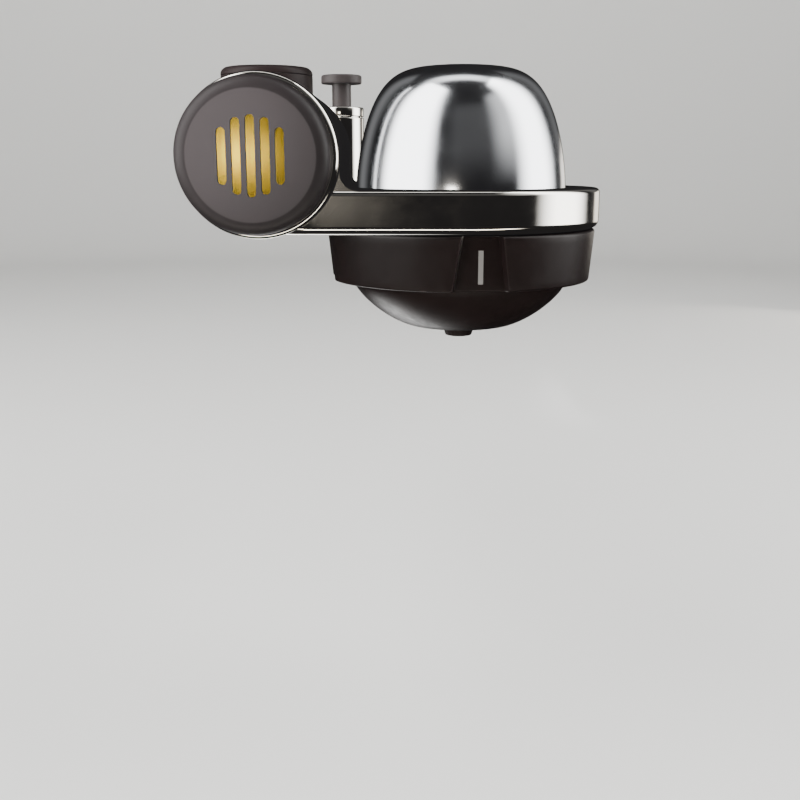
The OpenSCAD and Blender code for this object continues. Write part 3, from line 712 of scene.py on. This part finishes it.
def dial():
    """Dial plate with its scale of marks and numbers."""
    bore_r, r = 0.9, radius_of(dial_low, dial_high)
    low, face = dial_low[2], dial_high[2] - 0.12
    plate = lathe("gauge_dial_plate", rounded([
        (bore_r, low, 0), (r, low, 0.1), (r, face, 0.1), (bore_r, face, 0)]), "Z", GAUGE, 96)
    dress(plate, "dial_face", "machine", "gauge_dial")
    marks, long_every, outer = 16, 4, 8.1
    ink_low, ink_top = dial_high[2] - 0.125, dial_high[2] - 0.06
    angles = [math.radians(ZERO - SWEEP * i / marks) for i in range(marks + 1)]
    parts = []
    for i, angle in enumerate(angles):
        inner, half = (6.7, 0.17) if i % long_every == 0 else (7.3, 0.09)
        bar = [(inner, -half), (outer, -half), (outer, half), (inner, half)]
        parts.append(prism(f"dial_mark_{i}", on_dial(bar, angle), flat, ink_low, ink_top))
    for i in range(0, marks + 1, long_every):
        parts.append(dial_number(str(i), angles[i], ink_low))
    scale = join("gauge_dial_scale", parts)
    dress(scale, "dial_ink", "machine")


def dial_number(text, angle, height):
    """A number on the dial, upright for a reader behind the pump handle."""
    size, reach = 2.0, 5.5
    curve = bpy.data.curves.new("number", "FONT")
    curve.body = text
    curve.size = size * MM
    curve.extrude = 0.03 * MM
    curve.align_x = "CENTER"
    curve.align_y = "CENTER"
    text_object = bpy.data.objects.new("number", curve)
    bpy.context.scene.collection.objects.link(text_object)
    x, y = on_dial([(reach, 0)], angle)[0]
    text_object.location = Vector((x, y, height)) * MM
    text_object.rotation_euler = (0, 0, math.pi)
    bpy.context.view_layer.update()
    graph = bpy.context.evaluated_depsgraph_get()
    mesh = bpy.data.meshes.new_from_object(text_object.evaluated_get(graph))
    mesh.transform(text_object.matrix_world)
    piece = bpy.data.objects.new("number_mesh", mesh)
    bpy.context.scene.collection.objects.link(piece)
    bpy.data.objects.remove(text_object)
    return piece


def join(name, parts):
    """One object from several, all with their meshes in place."""
    bm = bmesh.new()
    for part in parts:
        bm.from_mesh(part.data)
        bpy.data.objects.remove(part)
    mesh = bpy.data.meshes.new(name)
    bm.to_mesh(mesh)
    bm.free()
    piece = bpy.data.objects.new(name, mesh)
    bpy.context.scene.collection.objects.link(piece)
    return piece


def needle():
    """Tapered needle with a short tail, on its hub."""
    low, high = needle_low[2], needle_high[2]
    shape = [(-2.6, -0.5), (0, -0.55), (7.2, -0.12), (7.35, 0), (7.2, 0.12), (0, 0.55), (-2.6, 0.5)]
    outline = on_dial(shape, math.radians(ZERO))
    arm = prism("gauge_needle_arm", outline, flat, low + 0.05, high - 0.1)
    dress(arm, "needle_red", "needle", "gauge_needle")
    hub = lathe("gauge_needle_hub", rounded([
        (0, low, 0), (1.3, low, 0.05), (1.3, high, 0.15), (0, high + 0.25, 0)]), "Z", GAUGE, 48)
    dress(hub, "dial_ink", "needle")


# ---------- button and its spring ----------

def spring():
    """Coil round the button's stem, built at one length; it does not shorten as the button is pressed."""
    low, high = box_mm("valve_spring")
    wire, turns, steps, sides = 0.35, 4, 40, 12
    radius = radius_of(low, high) - wire
    tall = high[2] - low[2]
    place = onto_axis("Z", TOWER)

    def ring(share, thick):
        z = low[2] + wire + (tall - 2 * wire) * share
        angles = [TURN * k / sides for k in range(sides)] if thick else [0]
        return [place(radius + thick * math.cos(b), z + thick * math.sin(b), TURN * turns * share)
                for b in angles]

    count = turns * steps
    rings = [ring(0, 0)] + [ring(i / count, wire) for i in range(count + 1)] + [ring(1, 0)]
    piece = dress(skin("valve_spring_coil", rings, sharp_deg=60), "steel", "machine", "valve_spring")
    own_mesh(piece)


def button():
    """Button's disc, and the nut that its stem comes through."""
    r = radius_of(button_low, button_high)
    low, top = button_low[2], button_high[2]
    head = lathe("button_head_disc", rounded([
        (2.1, low, 0), (r, low, 0.35), (r, top, 0.55), (r - 1.2, top, 0.4), (0, top - 0.25, 0)],
        steps=8), "Z", TOWER, 96)
    # The disc takes the cap plastic painted paler, as painted light in place of lamp light.
    dress(head, "button_plastic_painted_light", "button", "button_head")
    bore_r, thread_r, neck_r, nut_r = 2.66, 4.15, 5.5, 6.0
    foot, top, neck_top = nut_low[2], nut_high[2], TOWER_TOP + 0.3
    dish = top - 0.4
    nut = lathe("valve_cap_nut_ring", rounded([
        (bore_r, foot, 0), (thread_r, foot, 0.1), (thread_r, TOWER_TOP, 0), (neck_r, TOWER_TOP, 0),
        (neck_r, neck_top, 0.05), (nut_r, neck_top, 0.2), (nut_r, top, 0.35), (3.3, top, 0.25),
        (2.9, dish, 0.1), (bore_r, dish, 0)], closed=True), "Z", TOWER, 96, closed=True)
    dress(nut, "chrome_body", "machine", "valve_cap_nut")


# ---------- portafilter ----------

def smooth_step(x):
    """0 to 1 with no kink at either end."""
    x = min(max(x, 0.0), 1.0)
    return x * x * (3 - 2 * x)


# The cover: a band of four grip pads with recesses between them, over a round bowl.
BOWL_R = 27.8
BOWL_FLAT = 12.5
BOWL_POWER = 1.4
PAD_TOP_R = 34.2
PAD_LOW_R = 33.1
BAND_TOP = RING_LOW - 0.3
BAND_LOW = BAND_TOP - 12.8
# The recesses: floor's radius, first one's angle, half widths at the top and below, and the side walls.
RECESS_COUNT = 4
RECESS_R = 31.8
RECESS_ANGLE = -84.5
RECESS_TOP = 4.2
RECESS_LOW = 6.2
RECESS_WALL = 0.45
RECESS_AT_R = 33.0
RECESS_FROM_R = 31.0
RING_SEAT = box_mm("lower_sieve")[0][2] - 0.02


def cover_columns(z):
    """Angles round the cover at a height, each with its share of pad (1) or recess (0)."""
    share = min(max((BAND_TOP - z) / (BAND_TOP - BAND_LOW), 0.0), 1.0)
    half = math.asin((RECESS_TOP + (RECESS_LOW - RECESS_TOP) * share) / RECESS_AT_R)
    wall = RECESS_WALL / RECESS_AT_R
    sector = math.pi / RECESS_COUNT
    pad, slope, floor = 40, 5, 8
    side = [(sector + (half + wall - sector) * k / pad, 1.0) for k in range(pad)]
    side += [(half + wall * (1 - k / slope), smooth_step(1 - k / slope)) for k in range(slope)]
    side += [(half * (1 - k / floor), 0.0) for k in range(floor + 1)]
    across = [(-a, s) for a, s in side] + [(a, s) for a, s in side[-2:0:-1]]
    columns = []
    for i in range(RECESS_COUNT):
        middle = math.radians(RECESS_ANGLE + 360 * i / RECESS_COUNT)
        columns += [(middle + a, s) for a, s in across]
    return columns


def recess_radius(z):
    """Radius of the recess's floor, with rounded upper and lower edges."""
    edge = 0.5
    run_out = max(edge - (BAND_TOP - z), edge - (z - BAND_LOW), 0.0)
    return RECESS_R - edge + math.sqrt(max(edge ** 2 - run_out ** 2, 0.0))


def bowl_radius(z):
    """Radius of the bowl at a height below the grip pads."""
    t = min(max((BAND_LOW - z) / (BAND_LOW - cover_low[2]), 0.0), 1.0)
    return BOWL_FLAT + (BOWL_R - BOWL_FLAT) * (1 - t ** BOWL_POWER) ** (1 / BOWL_POWER)


def subdivided(outline, pitch):
    """The same outline with no step longer than the pitch."""
    dense = []
    for (r0, z0), (r1, z1) in zip(outline, outline[1:]):
        pieces = max(1, math.ceil(math.hypot(r1 - r0, z1 - z0) / pitch))
        dense += [(r0 + (r1 - r0) * k / pieces, z0 + (z1 - z0) * k / pieces) for k in range(pieces)]
    return dense + [outline[-1]]


def cover():
    """Portafilter cover: grip pads, recesses and the round bowl in one surface."""
    bottom = cover_low[2]
    join_z = BAND_LOW - 1.2
    spout_r, mouth_r = 4.45, 25.65
    band = subdivided(rounded([
        (26.3, BAND_TOP, 0), (PAD_TOP_R, BAND_TOP, 0.7), (PAD_LOW_R, BAND_LOW, 0.5),
        (BOWL_R, BAND_LOW, 0.3), (bowl_radius(join_z), join_z, 0)]), 1.6)
    bowl_steps = 30
    start = (BAND_LOW - join_z) / (BAND_LOW - bottom)
    bowl = []
    for k in range(1, bowl_steps + 1):
        t = start + (1 - start) * math.sin(math.pi / 2 * k / bowl_steps)
        z = BAND_LOW - (BAND_LOW - bottom) * t
        bowl.append((bowl_radius(z), z))
    inside = [
        (spout_r + 0.15, bottom), (spout_r, bottom + 0.15), (spout_r, bottom + 3.4), (19.9, RING_SEAT),
        (mouth_r, RING_SEAT), (mouth_r, BAND_TOP - 0.05)]
    place = onto_axis("Z", HEAD)
    rings = []
    for radius, z in band + bowl + inside:
        ring = []
        for angle, share in cover_columns(z):
            inner = min(radius, recess_radius(z)) if radius > RECESS_FROM_R else radius
            ring.append(place(inner + (radius - inner) * share, z, angle))
        rings.append(ring)
    piece = skin("portafilter_cover_shell", rings, closed=True, sharp_deg=40)
    return dress(piece, "cover_plastic", "portafilter", "portafilter_cover")


def holder_ring():
    """Steel ring in the cover that holds the basket, with the bayonet's lugs."""
    low, high = box_mm("holder_ring")
    foot, top, seat = low[2], high[2], high[2] - 0.75
    bore_r, seat_r, outer_r = 22.8, 24.7, 25.6
    body = lathe("holder_ring_body", rounded([
        (bore_r, foot, 0.1), (outer_r, foot, 0.2), (outer_r, top, 0.3), (seat_r, top, 0.2),
        (seat_r, seat, 0.1), (bore_r, seat, 0.15)], closed=True), "Z", HEAD, 144, closed=True)
    root_r, lug_r, lug_thick, lug_count, steps = 25.2, high[0] - HEAD[0], 1.5, 3, 24
    lugs = []
    for i in range(lug_count):
        middle, half = math.radians(30 + 360 / lug_count * i), math.radians(19)
        angles = [middle - half + 2 * half * k / steps for k in range(steps + 1)]
        outline = [(HEAD[0] + lug_r * math.cos(a), HEAD[1] + lug_r * math.sin(a)) for a in angles]
        outline += [(HEAD[0] + root_r * math.cos(a), HEAD[1] + root_r * math.sin(a)) for a in angles[::-1]]
        lugs.append(prism(f"lug_{i}", outline, flat, top - lug_thick, top))
    combine(body, lugs, "UNION")
    soften(body, 0.15)
    return dress(body, "steel", "portafilter", "holder_ring")


def nozzle():
    """Spout that comes out of the bowl's bottom and tapers to its tip."""
    low, high = box_mm("outlet_nozzle")
    tip, top, bowl_bottom = low[2], high[2], cover_low[2]
    bore_r, body_r = 1.6, 4.4
    spout = lathe("outlet_nozzle_spout", rounded([
        (bore_r, top, 0), (body_r, top, 0.2), (body_r, bowl_bottom, 0.3), (3.4, tip, 0.3), (1.9, tip, 0.25),
        (bore_r, tip + 0.6, 0.2)], closed=True), "Z", HEAD, 64, closed=True)
    return dress(spout, "cover_plastic", "portafilter", "outlet_nozzle")


# ---------- pump handle ----------

def grip():
    """Soft sleeve with long shallow grooves that fade out towards both ends."""
    r, bore_r = grip_high[0], 16.05
    front, back = grip_low[1], grip_high[1]
    grooves, depth, half_width, steps, pitch = 24, 0.42, 0.16, 720, 1.2
    groove_start, groove_end, fade_over = front + 13, back - 9, 3
    place = onto_axis("Y", (0, 0, 0))
    # The last corner stands a hair off the first, so no two rings of the closed skin fall together.
    outline = rounded([
        (bore_r, back, 0), (bore_r, front, 0.1), (r, front, 0.5), (r, back, 0.2), (bore_r + 0.01, back, 0)])
    dense = []
    for (r0, y0), (r1, y1) in zip(outline, outline[1:]):
        outer = min(r0, r1) > bore_r + 0.45
        pieces = max(1, int(abs(y1 - y0) / pitch)) if outer else 1
        dense += [(r0 + (r1 - r0) * k / pieces, y0 + (y1 - y0) * k / pieces) for k in range(pieces)]
    rings = []
    for radius, y in dense:
        fade = smooth_step((y - groove_start) / fade_over) * smooth_step((groove_end - y) / fade_over)
        ring = []
        for k in range(steps):
            a = TURN * k / steps
            wave = (a * grooves / TURN) % 1.0 - 0.5
            cut = depth * smooth_step(1 - abs(wave) / half_width) * fade if radius > r - 0.1 else 0
            ring.append(place(radius - cut, y, a))
        rings.append(ring)
    sleeve = skin("handle_grip_sleeve", rings, closed=True)
    return dress(sleeve, "grip_rubber", "pump_handle", "handle_grip")


def handle_end():
    """Cap that plugs the handle's end, with a sunk hole for its screw."""
    plug_front, front, back = handle_cap_low[1], grip_high[1] + 0.1, handle_cap_high[1]
    plug_r, r = 15.15, handle_cap_high[0]
    rod_r, screw_r, head_r = 3.05, 2.05, 3.9
    head_floor, screw_end = back - 2.6, back - 7
    cap = lathe("handle_end_cap_shell", rounded([
        (rod_r, plug_front, 0), (plug_r, plug_front, 0.3), (plug_r, front, 0), (r, front, 0.4),
        (r, back, 2.5), (head_r, back, 0.4), (head_r, head_floor, 0.1), (screw_r, head_floor, 0),
        (screw_r, screw_end, 0), (rod_r, screw_end, 0)],
        steps=10, closed=True), "Y", steps=160, closed=True)
    dress(cap, "cap_plastic", "pump_handle", "handle_end_cap")


# ---------- CAD nodes that stay, with real finishes ----------

def finish_cad_nodes():
    """Every CAD node takes the look of its material slot; the button's stem takes its disc's look, the cap
    plastic painted paler as painted light.
    """
    slots = {s["node"]: s["material_slot"] for s in frame["record"]["subparts"]}
    for name, node in frame["nodes"].items():
        node.data.materials.clear()
        node.data.materials.append(LOOKS["button_plastic_painted_light" if name == "button_stem" else slots[name]])


def quiet_reflections():
    """Polished metal mirrors the softboxes alone: no piece or paper shows in another piece."""
    for piece in bpy.context.scene.objects:
        if piece.type == "MESH":
            piece.visible_glossy = False


# ---------- studio ----------

def paper():
    """Matt pale paper, very slightly uneven."""
    colour = (0.80, 0.80, 0.79)
    m = Recipe("studio_paper", colour, 0.0, 0.75)
    m.tint(m.noise(3, 2), tuple(c * 0.985 for c in colour), colour)
    return m.material


def studio():
    """Pale round floor that curves up into a wall on every side."""
    floor_z, wall, bend, top, steps, bend_steps = -0.155, 1.8, 0.5, 1.9, 96, 16
    path = [(0.15 * wall, floor_z)]
    for k in range(bend_steps + 1):
        a = math.pi / 2 * (k / bend_steps - 1)
        path.append((wall - bend + bend * math.cos(a), floor_z + bend + bend * math.sin(a)))
    path.append((wall, top))
    bm = bmesh.new()
    rows = []
    for k in range(steps):
        a = TURN * k / steps
        rows.append([bm.verts.new((r * math.cos(a), r * math.sin(a), z)) for r, z in path])
    for here, there in zip(rows, rows[1:] + rows[:1]):
        for k in range(len(path) - 1):
            bm.faces.new([here[k], here[k + 1], there[k + 1], there[k]])
    bm.faces.new([row[0] for row in rows])
    floor = finish_mesh("studio_floor", bm, 80)
    floor.data.materials.append(paper())
    floor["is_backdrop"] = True


# What the lights stand round, in metres, and their two tints.
MIDDLE = Vector((0.03, -0.05, -0.01))
WHITE = (1.0, 0.995, 0.98)
WARM = (1.0, 0.93, 0.82)


def stand(name, light, place, aim):
    """Put a light into the scene at a place, pointing at another."""
    lamp = bpy.data.objects.new(name, light)
    lamp.location = place
    lamp.rotation_euler = (Vector(aim) - Vector(place)).to_track_quat("-Z", "Y").to_euler()
    bpy.context.scene.collection.objects.link(lamp)
    return lamp


def softbox(name, place, aim, size, power, colour, soft):
    """Area light that fades out towards its edges, across and upwards, as a cloth softbox does."""
    light = bpy.data.lights.new(name, "AREA")
    light.shape = "RECTANGLE"
    light.size, light.size_y = size
    light.energy = power
    light.color = colour
    light.use_nodes = True
    tree = light.node_tree
    emission = tree.nodes["Emission"]
    across = tree.nodes.new("ShaderNodeNewGeometry").outputs["Parametric"]
    split = tree.nodes.new("ShaderNodeSeparateXYZ")
    tree.links.new(across, split.inputs[0])
    falls = [edge_fall(tree, split.outputs[axis], share) for axis, share in zip("XY", soft)]
    product = tree.nodes.new("ShaderNodeMath")
    product.operation = "MULTIPLY"
    for socket, fall in zip(product.inputs, falls):
        tree.links.new(fall, socket)
    tree.links.new(product.outputs[0], emission.inputs["Strength"])
    return stand(name, light, place, aim)


def edge_fall(tree, value, soft):
    """1 over the middle of 0..1 and falling to 0 at both ends."""
    away = tree.nodes.new("ShaderNodeMath")
    away.operation = "PINGPONG"
    away.inputs[1].default_value = 0.5
    tree.links.new(value, away.inputs[0])
    ramp = tree.nodes.new("ShaderNodeMapRange")
    ramp.interpolation_type = "SMOOTHSTEP"
    ramp.inputs["From Max"].default_value = max(soft * 0.5, 0.001)
    tree.links.new(away.outputs[0], ramp.inputs["Value"])
    return ramp.outputs["Result"]


def standing_box(name, azimuth, distance, width, low, high, power, colour, soft):
    """Upright softbox from one height to another; azimuth 0 is in front of the cap, 90 to the right."""
    a, height = math.radians(azimuth), (low + high) / 2
    place = (MIDDLE.x + distance * math.sin(a), MIDDLE.y - distance * math.cos(a), height)
    softbox(name, place, (MIDDLE.x, MIDDLE.y, height), (width, high - low), power, colour, soft)


# Upright softboxes: azimuth, distance, width, low end, high end, power, colour, and how much of the
# box fades out sideways and upwards.
BOXES = {
    "box_left": (-65, 0.75, 1.14, -0.15, 1.9, 50, WHITE, (0.55, 0.06)),
    "box_right": (90, 0.75, 0.95, -0.15, 1.9, 40, WHITE, (0.8, 0.06)),
    "box_fill": (55, 0.9, 0.9, 0.05, 1.5, 4.0, WHITE, (1.0, 0.6)),
    "box_front": (10, 1.2, 1.6, 0.12, 1.6, 0.5, WHITE, (0.6, 0.6)),
    "box_arm": (-20, 1.3, 1.0, -0.22, 0.16, 0.35, WARM, (0.5, 1.0)),
    "box_badge": (-12, 1.3, 0.34, -0.02, 0.06, 1.25, WARM, (0.8, 0.6)),
    "strip_left": (-109, 0.75, 0.05, -0.15, 0.9, 0.8, WHITE, (0.5, 0.1)),
    "box_back_left": (-138, 0.9, 0.6, -0.15, 1.2, 0.5, WHITE, (1.0, 0.2)),
    "strip_right": (146, 0.9, 0.4, -0.145, 0.10, 0.6, WARM, (0.6, 0.5)),
    "box_back_right": (142, 0.9, 0.6, -0.15, 1.2, 0.35, WHITE, (1.0, 0.2)),
}


def lights():
    """Softboxes round the machine, one above it and two small ones under it."""
    for name, settings in BOXES.items():
        standing_box(name, *settings)
    softbox("box_top", (0.03, 0.02, 1.3), MIDDLE, (1.9, 0.45), 7, WHITE, (0.8, 0.8))
    softbox("strip_low", (0.0, -0.20, -0.145), (0.0, -0.2001, 0), (0.5, 0.05), 0.6, WARM, (0.4, 0.4))
    box_low = softbox(
        "box_low", (-0.02, 0.07, -0.15), (-0.02, 0.0701, 0), (0.16, 0.14), 0.7, WHITE, (1.0, 1.0))
    box_low.visible_camera = False


def cap_spot():
    """Narrow spot on the end cap's face from the upper left."""
    spot = bpy.data.lights.new("cap_spot", "SPOT")
    spot.energy = 45
    spot.spot_size = math.radians(6.4)
    spot.spot_blend = 1.0
    spot.shadow_soft_size = 0.006
    lamp = stand("cap_spot", spot, (-0.20, -0.56, 0.16), (-0.013, cap_low[1] * MM, 0.010))
    lamp.visible_glossy = False


def air():
    """Faint even light from everywhere else."""
    world = bpy.data.worlds.new("studio_air")
    bpy.context.scene.world = world
    world.use_nodes = True
    background = world.node_tree.nodes["Background"]
    background.inputs["Color"].default_value = (0.020, 0.019, 0.020, 1)
    background.inputs["Strength"].default_value = 1.0


def camera():
    """Camera in front of the end cap at the barrel's height, pitched down a little."""
    pitch, lens = math.radians(13.54), 44.843
    across, distance, height = 30.6, 260.0, -0.75
    data = bpy.data.cameras.new("camera")
    data.sensor_width = 36.0
    data.lens = lens
    data.clip_start = 0.01
    eye = bpy.data.objects.new("camera", data)
    eye.location = Vector((across, HEAD[1] - distance, height)) * MM
    eye.rotation_euler = (math.pi / 2 - pitch, 0, 0)
    bpy.context.scene.collection.objects.link(eye)
    bpy.context.scene.camera = eye


# ---------- the scene ----------

camera()
finish_cad_nodes()
casting()
end_cap()
badge()
dome()
gauge()
dial()
needle()
button()
spring()
cover()
holder_ring()
nozzle()
grip()
handle_end()
studio()
quiet_reflections()
lights()
cap_spot()
air()

visual_low, visual_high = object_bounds()
boxes = {"cad": (cad_low, cad_high), "visual": (visual_low, visual_high)}
{name: [list(corner) for corner in box] for name, box in boxes.items()}
